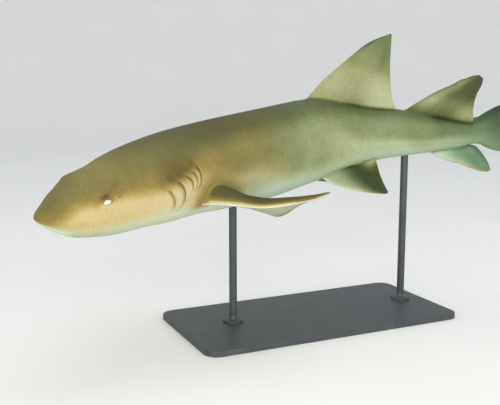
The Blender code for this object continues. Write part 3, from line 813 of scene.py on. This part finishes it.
def nearest(points, asked):
    """Index of, and distance to, the point nearest to each of those asked about."""
    tree = KDTree(len(points))
    for k, point in enumerate(points):
        tree.insert(point, k)
    tree.balance()
    found = [tree.find(point) for point in asked]
    return np.array([hit[1] for hit in found]), np.array([hit[2] for hit in found])


def ease(points, edges, weight, rounds):
    """Points drawn towards the middle of their neighbours by a weight each."""
    ends, others = np.concatenate([edges, edges[:, ::-1]]).T
    count = np.bincount(ends, minlength=len(points))[:, None]
    for _ in range(rounds):
        total = np.stack([np.bincount(ends, points[others, k], len(points)) for k in range(3)], 1)
        points = points + weight[:, None] * (total / count - points)
    return points


def make_skin():
    """The skin as one piece, its points, and what each of them needs for its markings."""
    body_points, body_faces, body_marks = body_solid()
    skin = solid_from("skin", body_points, body_faces)
    kinds, grown, grown_faces, grown_marks = zip(*growths())
    boolean(skin, solid_from("growths", *joined(zip(grown, grown_faces))), "UNION")
    found = read_points(skin.data)
    to_body, body_gap = nearest(body_points, found)
    to_fin, fin_gap = nearest(np.vstack(grown), found)
    on_body = body_gap < SAME_PLACE
    _, reach = nearest(found[~on_body & (fin_gap >= SAME_PLACE)], found)
    kind = np.repeat(kinds, [len(points) for points in grown])[to_fin]
    out, chord, face = np.vstack(grown_marks)[to_fin].T
    slit, flap_highlight, gill_light_and_shade = (body_marks[to_body] * on_body[:, None]).T
    marks = {"kind": kind, "out": out, "chord": chord, "face": face, "reach": reach,
             "fin": np.where(on_body, 0.0, 1.0), "slit": slit, "flap_highlight": flap_highlight, "gill_light_and_shade": gill_light_and_shade}
    edges = np.empty(len(skin.data.edges) * 2, int)
    skin.data.edges.foreach_get("vertices", edges)
    weight = 0.5 * smooth(1 - reach / np.where(kind == BARBEL, BARBEL_FILLET, FIN_FILLET))
    weight *= 1 - rise(chord, 0.8, 0.15) * ~on_body
    eased = np.clip(ease(found, edges.reshape(-1, 2), weight, EASE_ROUNDS), *np.array(CAD_BOX))
    skin.data.vertices.foreach_set("co", eased.ravel())
    tool = solid_from("grooves", *joined(grooves()))
    boolean(tool, solid_from("nostrils", *joined(nostrils())), "UNION")
    boolean(tool, solid_from("sockets", *joined(sockets())), "UNION")
    boolean(skin, tool, "DIFFERENCE")
    final = read_points(skin.data)
    back_to, _ = nearest(eased, final)
    return skin, final, {name: value[back_to] for name, value in marks.items()}


def eyeball(hand):
    """A finely drawn eye with a slightly swollen cornea, and each point's place on it."""
    _, *axes = cheek_frame(EYE_SHARE, EYE_HEIGHT, hand)
    out = axes[-1]
    centre = eye_centre(hand) + out * (EYE_RADIUS - EYE_SHAPE[-1])
    points, faces = ellipsoid(centre, axes, EYE_SHAPE, 46, 64)
    place = (points - centre) @ np.array(axes).T / EYE_SHAPE
    points += out * (CORNEA_RISE * rise(place[:, 2:], 0.8, 0.16))
    ball = solid_from("eyeball_left" if hand > 0 else "eyeball_right", points, faces)
    ball.data.shade_smooth()
    for name, value in zip(("eye_back", "eye_up", "eye_out"), place.T):
        write_mark(ball.data, name, value)
    return ball


# How the colouring runs from snout to tail, in pairs of share and value: tone of the back, of the
# flank, of the pale zone and of the belly's rim (0 dark, 1 pale), the height at which the flank
# turns pale, how wide that change is, and how green the skin is.
TONES = (
    ((0, 0.39), (0.02, 0.36), (0.043, 0.36), (0.085, 0.44), (0.115, 0.35), (0.18, 0.25),
     (0.265, 0.18), (0.353, 0.22), (0.44, 0.28), (0.517, 0.24), (0.588, 0.33), (0.63, 0.3),
     (0.665, 0.16), (0.725, 0.22), (0.77, 0.14), (0.85, 0.2), (1, 0.18)),
    ((0, 0.42), (0.03, 0.36), (0.07, 0.34), (0.115, 0.35), (0.15, 0.24), (0.19, 0.36),
     (0.215, 0.43), (0.265, 0.39), (0.311, 0.42), (0.395, 0.48), (0.44, 0.54), (0.48, 0.5),
     (0.517, 0.47), (0.588, 0.5), (0.63, 0.5), (0.665, 0.38), (0.725, 0.4), (0.77, 0.26),
     (0.85, 0.32), (1, 0.28)),
    ((0, 0.58), (0.02, 0.6), (0.05, 0.66), (0.085, 0.68), (0.15, 0.74), (0.22, 0.7), (0.265, 0.72),
     (0.311, 0.73), (0.353, 0.66), (0.395, 0.6), (0.44, 0.56), (0.48, 0.62), (0.517, 0.68),
     (0.588, 0.72), (0.63, 0.65), (0.665, 0.64), (0.725, 0.54), (0.77, 0.38), (1, 0.36)),
    ((0, 0.74), (0.02, 0.82), (0.055, 0.79), (0.1, 0.88), (0.15, 0.9), (0.311, 0.96), (0.395, 0.9),
     (0.44, 0.82), (0.48, 0.78), (0.588, 0.84), (0.665, 0.72), (0.725, 0.6), (0.77, 0.45),
     (1, 0.4)),
    ((0, -0.35), (0.012, -0.2), (0.02, 0.05), (0.03, 0.26), (0.04, 0.36), (0.06, 0.29),
     (0.085, 0.3), (0.1, 0.25), (0.13, 0.18), (0.15, 0.2), (0.18, 0.27), (0.22, 0.12),
     (0.265, 0.03), (0.311, 0), (0.353, -0.15), (0.395, -0.2), (0.44, 0.3), (0.48, 0.32),
     (0.517, 0.12), (0.588, 0), (0.63, -0.06), (0.69, 0.1), (0.725, 0.05), (1, -0.3)),
    ((0, 1), (0.03, 0.85), (0.045, 0.45), (0.06, 0.26), (0.085, 0.3), (0.1, 0.42), (0.13, 0.38),
     (0.18, 0.5), (0.265, 0.42), (0.311, 0.5), (0.353, 0.65), (0.395, 0.55), (0.44, 0.35),
     (0.517, 0.4), (0.588, 0.36), (0.69, 0.5), (0.725, 0.75), (1, 0.8)),
    ((0, 0), (0.18, 0.06), (0.265, 0.2), (0.311, 0.26), (0.353, 0.44), (0.395, 0.58), (0.44, 0.64),
     (0.517, 0.64), (0.56, 0.7), (0.7, 0.72), (0.8, 0.45), (1, 0.3)),
)


def write_mark(mesh, name, value):
    """Store one number per point for the materials."""
    mark = mesh.attributes.new(name, "FLOAT", "POINT")
    mark.data.foreach_set("value", np.ascontiguousarray(value, np.float32))


def blend(share, places):
    """A value read along the body from (share, value) pairs, eased between them."""
    places = np.array(places)
    return through(places[:, 0], places[:, 1:], np.clip(share, *places[[0, -1], 0]))[:, 0]


def body_colours(share, side, height, tall):
    """The body's tone from dark back (0) to pale belly (1) with painted light and shade round the
    eye, its green, its painted blue-green sea light and its blush, tinted also in the shade under
    the brow.
    """
    back_tone, flank_tone, pale_tone, rim_tone, shore, spread, cool = (
        blend(share, keys) for keys in TONES)
    tone = back_tone + (flank_tone - back_tone) * fall(tall, 0.92, 0.45)
    tone += (pale_tone - flank_tone) * smooth((shore - tall) / spread + 0.5)
    tone += (rim_tone - pale_tone) * fall(tall, -0.22, 0.5)
    # A painted highlight on the cheek.
    tone += 0.06 * bell(share - 0.042, 0.016) * bell(tall - 0.02, 0.28)
    tone += 0.26 * fall(share, 0.034, 0.016) * fall(tall, -0.52, 0.3)
    along, up = from_eye(share, height)
    ring = lid_ring(along, up)
    # Painted shade behind the brow, in front of the eye and under the brow.
    under_brow_shade = patch(along, up, *UNDER_BROW_SHADE)
    eye_light_and_shade = patch(along, up, *BROW_SHADE) + patch(along, up, *SNOUT_SHADE) - 0.27 * under_brow_shade
    # The lower lid is painted lighter as highlight, the upper lid darker as shade.
    eye_light_and_shade += 0.1 * bell(ring - 1.25, 0.3) * fall(up, 0.002, 0.006)
    eye_light_and_shade -= 0.14 * bell(ring - 1.15, 0.22) * rise(up, 0.002, 0.004)
    cheek = np.abs(side) > 0.02
    cool += 0.2 * rise(tall, 0.45, 0.35) * fall(share, 0.3, 0.1)
    cool += 0.16 * fall(tall, -0.2, 0.3) * fall(share, 0.12, 0.04)
    # A painted blue-green cast of the sea's light over the rear.
    sea_light = 0.34 * rise(share, 0.65, 0.1) * fall(share, 0.95, 0.2)
    # Blush, and the shade under the brow painted reddish brown.
    blush_and_shade_tint = 0.1 * bell(tall - 0.3, 0.35) * bell(share - 0.09, 0.07) + 0.35 * under_brow_shade * cheek
    return tone + eye_light_and_shade * cheek, cool, sea_light, blush_and_shade_tint


def fin_colours(kind, out, chord, face):
    """The same four for the fins and barbels, by the place out along a fin and back across it."""
    upper = 0.13 + 0.16 * fall(chord, 0.075, 0.06)
    lower = 0.86 - 0.2 * rise(chord, 0.8, 0.15)
    tones = {
        FIRST_DORSAL: 0.62 - 0.14 * rise(out, 0.4, 0.2) - 0.08 * rise(out, 0.62, 0.2)
        + 0.12 * rise(chord, 0.5, 0.35) * fall(out, 0.62, 0.35)
        # Painted shade darkens the first dorsal near the front of its base.
        - 0.17 * bell(out, 0.15) * fall(chord, 0.7, 0.2) * rise(chord, 0.1, 0.25)
        - 0.18 * bell(chord, 0.1) * rise(out, 0.62, 0.12)
        - 0.08 * bell(chord - 0.8, 0.12) * bell(out - 0.66, 0.09),
        SECOND_DORSAL: 0.17 + 0.17 * bell(out - 0.24, 0.17)
        + 0.28 * bell(chord - 0.14, 0.18) * rise(out, 0, 0.3) * fall(out, 1.05, 0.35)
        + 0.26 * rise(chord, 0.55, 0.3) * bell(out - 0.14, 0.13)
        + 0.08 * rise(chord, 0.8, 0.15) * bell(out - 0.35, 0.15)
        - 0.16 * bell(out, 0.06) * bell(chord - 0.6, 0.3),
        ANAL: 0.5 + 0.42 * fall(chord + 0.7 * out, 0.82, 0.75) - 0.12 * rise(chord, 0.8, 0.15),
        PECTORAL: np.where(face >= 0, upper, lower)
        + 0.48 * bell(chord, 0.012) * fall(out, 0.8, 0.15) * rise(out, 0.05, 0.06),
        PELVIC: 0.13 + 0.54 * fall(chord + 0.62 * out, 0.74, 0.5)
        + 0.28 * bell(chord, 0.03) * (1 - out)
        + 0.74 * rise(chord, 0.55, 0.4) * fall(out, 0.5, 0.25),
        BARBEL: 0.95,
    }
    cools = {
        FIRST_DORSAL: 0.52 - 0.2 * bell(chord, 0.045) + 0.16 * rise(out, 0.5, 0.3),
        SECOND_DORSAL: 0.55,
        ANAL: 0.46 + 0.42 * rise(chord, 0, 0.35),
        PECTORAL: 0.1 + 0.25 * rise(chord, 0.06, 0.1) * (face >= 0),
        PELVIC: 0.78 - 0.26 * bell(chord, 0.12) - 0.38 * rise(chord, 0.6, 0.2),
        BARBEL: 0.25,
    }
    # The painted blue-green cast of the sea's light reaches the anal fin too.
    sea_lights = {ANAL: 0.24 * rise(chord, 0.1, 0.3)}
    blushes = {PECTORAL: 0.3 * rise(out, 0.5, 0.4), ANAL: 0.1 * bell(chord, 0.045)}
    return [np.select([kind == key for key in values], list(values.values()))
            for values in (tones, cools, sea_lights, blushes)]


def paint(points, marks):
    """What the materials read at each point of the skin: colours, and where patterns run."""
    share, side, height = unpose(points)
    _, back, belly, _, _ = sizes_at(share)
    _, top, bottom = through(CAUDAL[:, 0], CAUDAL[:, 1:], np.maximum(share, TAIL_END)).T
    above, below = (np.where(share > TAIL_END, tail, trunk)
                    for tail, trunk in ((top, back), (bottom, belly)))
    tall = np.clip(height / np.where(height >= 0, above, below), -1.3, 1.3)
    fin, kind, reach = marks["fin"], marks["kind"], marks["reach"]
    out, chord, face = marks["out"], marks["chord"], marks["face"]
    tone, *tints = body_colours(share, side, height, tall)
    # Painted shade above the pectoral fin's root, on the body and the fin's upper face.
    root = (kind == PECTORAL) * bell(reach, 0.034) * rise(height, -0.034, 0.012)
    tone += (0.34 - tone) * 0.9 * root * (1 - fin * (face < 0))
    fin = fin * np.where(kind == PECTORAL, rise(reach, 0, 0.012), smooth(reach / 0.01 + 0.3))
    tone, cool, sea_light, blush_and_shade_tint = (body * (1 - fin) + own * fin for body, own in
                               zip((tone, *tints), fin_colours(kind, out, chord, face)))
    # Painted shade along the fins' bases, and the gills' painted light and shade.
    base_shade = bell(reach, 0.009) * (kind != BARBEL) * (kind != PECTORAL)
    base_shade *= np.where(kind < ANAL, rise(chord, 0.25, 0.35), 1.0)
    tone += (0.05 * marks["flap_highlight"] - 0.3 * marks["gill_light_and_shade"]) * (1 - fin) - 0.17 * base_shade
    return {"tone": np.clip(tone, 0, 1), "cool": np.clip(cool, 0, 1), "sea_light": sea_light, "blush_and_shade_tint": blush_and_shade_tint,
            "slit": marks["slit"], "rays": fin * (kind != BARBEL),
            "streak": (1 - fin) * rise(share, 0.3, 0.1) * fall(share, 0.66, 0.1),
            "share": share, "tall": tall, "out": out, "chord": chord}


def srgb(*everyday):
    """A colour given in everyday 0-255 values, as the shaders want it."""
    parts = (value / 255 for value in everyday)
    return tuple(((part + 0.055) / 1.055) ** 2.4 if part > 0.04 else part / 12.92
                 for part in parts) + (1,)


class Paint:
    """A material and short ways to add nodes to it. Values may be numbers, colours or sockets."""

    def __init__(self, name):
        self.material = bpy.data.materials.new(name)
        self.material.use_nodes = True
        self.tree = self.material.node_tree

    def feed(self, value, socket):
        if isinstance(value, bpy.types.NodeSocket):
            self.tree.links.new(value, socket)
        else:
            socket.default_value = value

    def node(self, kind, values, output=0, **settings):
        """A new node's output, its inputs fed by number or by name."""
        node = self.tree.nodes.new("ShaderNode" + kind)
        for name, setting in settings.items():
            setattr(node, name, setting)
        for key, value in values.items():
            self.feed(value, node.inputs[key])
        return node.outputs[output]

    def mark(self, name):
        return self.node("Attribute", {}, "Fac", attribute_name=name)

    def stretched(self, along, across):
        """Places in a flat pattern, from two values."""
        return self.node("CombineXYZ", {0: along, 1: across, 2: 0.0})

    def noise(self, scale, detail=3.0, where=None, rough=0.5):
        where = where or self.tree.nodes.new("ShaderNodeTexCoord").outputs["Object"]
        return self.node("TexNoise", {"Scale": scale, "Detail": detail, "Roughness": rough,
                                      "Vector": where}, "Fac")

    def math(self, operation, one, two):
        return self.node("Math", {0: one, 1: two}, operation=operation)

    def times(self, one, two):
        return self.math("MULTIPLY", one, two)

    def reach(self, value, low, high, to_low=0.0, to_high=1.0):
        return self.node("MapRange", {0: value, 1: low, 2: high, 3: to_low, 4: to_high})

    def vary(self, noise, low, high):
        """The usual span of a noise, turned into a span of values."""
        return self.reach(noise, 0.3, 0.7, low, high)

    def ramp(self, value, stops):
        """A colour that changes with a value, through stops in everyday colours."""
        socket = self.node("ValToRGB", {0: value})
        elements = socket.node.color_ramp.elements
        while len(elements) < len(stops):
            elements.new(0.5)
        for element, (place, *colour) in zip(elements, stops):
            element.position = place
            element.color = srgb(*colour)
        return socket

    def mix(self, part, one, two):
        return self.node("Mix", {0: part, 6: one, 7: two}, 2, data_type="RGBA")

    def bump(self, height, strength, distance, under=None):
        values = {"Strength": strength, "Distance": distance, "Height": height}
        return self.node("Bump", {**values, "Normal": under} if under else values)

    def done(self, values):
        """The finished material, its surface fed by name."""
        surface = self.tree.nodes["Principled BSDF"]
        for key, value in values.items():
            self.feed(value, surface.inputs[key])
        return self.material


# Palettes: stops of place and everyday red, green and blue, over the tone or over a noise.
WARM = ((0.0, 50, 40, 12), (0.24, 100, 89, 46), (0.33, 119, 106, 56), (0.4, 133, 118, 58),
        (0.53, 155, 138, 77), (0.66, 178, 160, 106), (0.75, 187, 173, 127), (0.83, 186, 189, 158),
        (1.0, 213, 217, 196))
COLD = ((0.0, 24, 36, 22), (0.2, 54, 76, 50), (0.375, 80, 107, 77), (0.5, 103, 130, 100),
        (0.65, 131, 156, 125), (0.78, 152, 178, 153), (0.9, 165, 197, 175), (1.0, 190, 214, 196))
# Painted blue-green of the sea's light.
SEA_LIGHT = ((0.0, 14, 40, 34), (0.4, 54, 109, 96), (0.7, 104, 160, 144), (1.0, 164, 213, 198))
# Blush, also the tint of the painted shade under the brow.
BLUSH_AND_SHADE_TINT = (150, 100, 62)
# Painted shade in the slits.
SLIT_SHADE = (92, 88, 48)
IRIS = ((0.3, 182, 189, 160), (0.55, 212, 218, 194), (0.8, 228, 233, 214))
IRIS_RIM = (206, 200, 160)
PUPIL = (84, 76, 50)
STAND_COAT = ((0.3, 62, 65, 68), (0.7, 78, 81, 84))
FLOOR = ((0.3, 242, 242, 239), (0.7, 245, 245, 242))


def skin_paint():
    """Shark skin: palettes from back to belly, mottled, with grain, streaks and fin rays, the
    painted blue-green of the sea's light, and painted shade in the slits.
    """
    paint = Paint("shark_skin")
    blotch = paint.noise(9.0, 4.0, rough=0.6)
    fine = paint.noise(120.0, rough=0.6)
    along = paint.stretched(paint.times(paint.mark("share"), 190.0),
                            paint.times(paint.mark("tall"), 2.2))
    streaks = paint.noise(1.0, where=along, rough=0.6)
    across = paint.stretched(paint.times(paint.mark("chord"), 46.0),
                             paint.times(paint.mark("out"), 2.0))
    rays = paint.noise(1.0, 2.0, where=across)
    tone = paint.math("ADD", paint.mark("tone"), paint.vary(blotch, -0.045, 0.045))
    tone = paint.math("ADD", tone, paint.vary(fine, -0.035, 0.035))
    for pattern, where in ((streaks, "streak"), (rays, "rays")):
        step = paint.times(paint.vary(pattern, -0.025, 0.025), paint.mark(where))
        tone = paint.math("ADD", tone, step)
    colour = paint.mix(paint.mark("cool"), paint.ramp(tone, WARM), paint.ramp(tone, COLD))
    # The painted blue-green cast of the sea's light.
    colour = paint.mix(paint.mark("sea_light"), colour, paint.ramp(tone, SEA_LIGHT))
    # Blush and the tint of the painted shade under the brow.
    colour = paint.mix(paint.times(paint.mark("blush_and_shade_tint"), 0.45), colour, srgb(*BLUSH_AND_SHADE_TINT))
    # Painted shade in the gill slits and the mouth's fold.
    colour = paint.mix(paint.times(paint.mark("slit"), 0.85), colour, srgb(*SLIT_SHADE))
    normal = paint.bump(paint.noise(650.0, 2.0), 0.22, 0.0006)
    normal = paint.bump(paint.times(streaks, paint.mark("streak")), 0.15, 0.0012, normal)
    normal = paint.bump(paint.times(rays, paint.mark("rays")), 0.3, 0.0012, normal)
    return paint.done({"Base Color": colour, "Roughness": paint.vary(fine, 0.52, 0.66),
                       "Normal": normal, "Specular IOR Level": 0.15})


def eye_paint():
    """A pale iris, paler at its rim, with a dark slit pupil under a clear gloss."""
    paint = Paint("shark_eye")
    narrow = paint.times(paint.mark("eye_back"), 20.0)
    tall = paint.times(paint.math("SUBTRACT", paint.mark("eye_up"), 0.1), 4.4)
    slit = paint.math("ADD", paint.times(narrow, narrow), paint.times(tall, tall))
    slit = paint.math("POWER", slit, 0.5)
    flecks = paint.noise(420.0, 4.0, rough=0.65)
    inner = paint.reach(paint.mark("eye_out"), 0.62, 0.8)
    colour = paint.mix(inner, srgb(*IRIS_RIM), paint.ramp(flecks, IRIS))
    colour = paint.mix(paint.reach(slit, 0.7, 1.2, 0.75, 0.0), colour, srgb(*PUPIL))
    return paint.done({"Base Color": colour, "Roughness": paint.vary(flecks, 0.1, 0.16),
                       "Coat Weight": 0.6, "Coat Roughness": 0.05,
                       "Normal": paint.bump(flecks, 0.05, 0.0004)})


def stand_paint():
    """Dark powder coat over metal, with fine grain and slightly worn gloss."""
    paint = Paint("stand_coat")
    cloud = paint.noise(14.0, 4.0, rough=0.6)
    return paint.done({"Base Color": paint.ramp(cloud, STAND_COAT), "Metallic": 0.25,
                       "Roughness": paint.vary(cloud, 0.42, 0.58),
                       "Normal": paint.bump(paint.noise(900.0, 2.0), 0.25, 0.0003)})


def stage_paint():
    """Pale matt studio floor."""
    paint = Paint("studio_floor")
    return paint.done({"Base Color": paint.ramp(paint.noise(1.5), FLOOR), "Roughness": 0.9})


def make_stage():
    """A pale round floor that curves up into a wall far behind the model on every side."""
    bend = np.linspace(0, np.pi / 2, 14)
    radii = np.append(STAGE_RADIUS + STAGE_CURVE * (np.sin(bend) - 1), STAGE_RADIUS)
    levels = np.append(STAGE_CURVE * (1 - np.cos(bend)), STAGE_TOP)
    cosine, sine = circle(STAGE_POINTS)
    rings = np.stack([np.outer(radii, cosine), np.outer(radii, sine),
                      np.outer(levels, np.ones(STAGE_POINTS))], axis=-1)
    faces = [(0, 1 + k, 1 + (k + 1) % STAGE_POINTS) for k in range(STAGE_POINTS)]
    faces += ring_faces(1, len(rings), STAGE_POINTS)
    floor = solid_from("studio_floor", np.vstack([np.zeros(3), rings.reshape(-1, 3)]), faces)
    floor.data.shade_smooth()
    floor.data.materials.append(stage_paint())


def area_light(name, place, aim, size, power, colour):
    """A square soft light that points at a place."""
    light = bpy.data.lights.new(name, "AREA")
    light.size, light.energy, light.color = size, power, colour
    lamp = bpy.data.objects.new(name, light)
    lamp.location = place
    lamp.rotation_euler = (Vector(aim) - Vector(place)).to_track_quat("-Z", "Y").to_euler()
    bpy.context.scene.collection.objects.link(lamp)


def light_and_camera():
    """Soft studio light, mostly from the camera's side, and the camera."""
    scene = bpy.context.scene
    scene.view_settings.view_transform = "Standard"
    scene.world = bpy.data.worlds.new("studio")
    scene.world.use_nodes = True
    sky = scene.world.node_tree.nodes["Background"].inputs
    sky["Color"].default_value, sky["Strength"].default_value = SKY, SKY_STRENGTH
    for row in LIGHTS:
        area_light(*row)
    lens = bpy.data.cameras.new("camera")
    lens.lens, lens.sensor_width = CAMERA_LENS, CAMERA_FILM
    camera = bpy.data.objects.new("camera", lens)
    camera.location = CAMERA_PLACE
    camera.rotation_euler = np.radians((CAMERA_TILT, 0.0, CAMERA_TURN))
    scene.collection.objects.link(camera)
    scene.camera = camera


skin, skin_points, skin_marks = make_skin()
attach(skin, "root")
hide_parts(*SKIN_NODES)
skin.data.shade_smooth()
for name, value in paint(skin_points, skin_marks).items():
    write_mark(skin.data, name, value)
skin.data.materials.clear()
skin.data.materials.append(skin_paint())

eye_material = eye_paint()
for hand, node in ((1, "eye_left"), (-1, "eye_right")):
    ball = eyeball(hand)
    ball.data.materials.append(eye_material)
    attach(ball, "root")
    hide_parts(node)

stand_material = stand_paint()
for node in STAND_NODES:
    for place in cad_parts[node].material_slots:
        place.material = stand_material

make_stage()
light_and_camera()
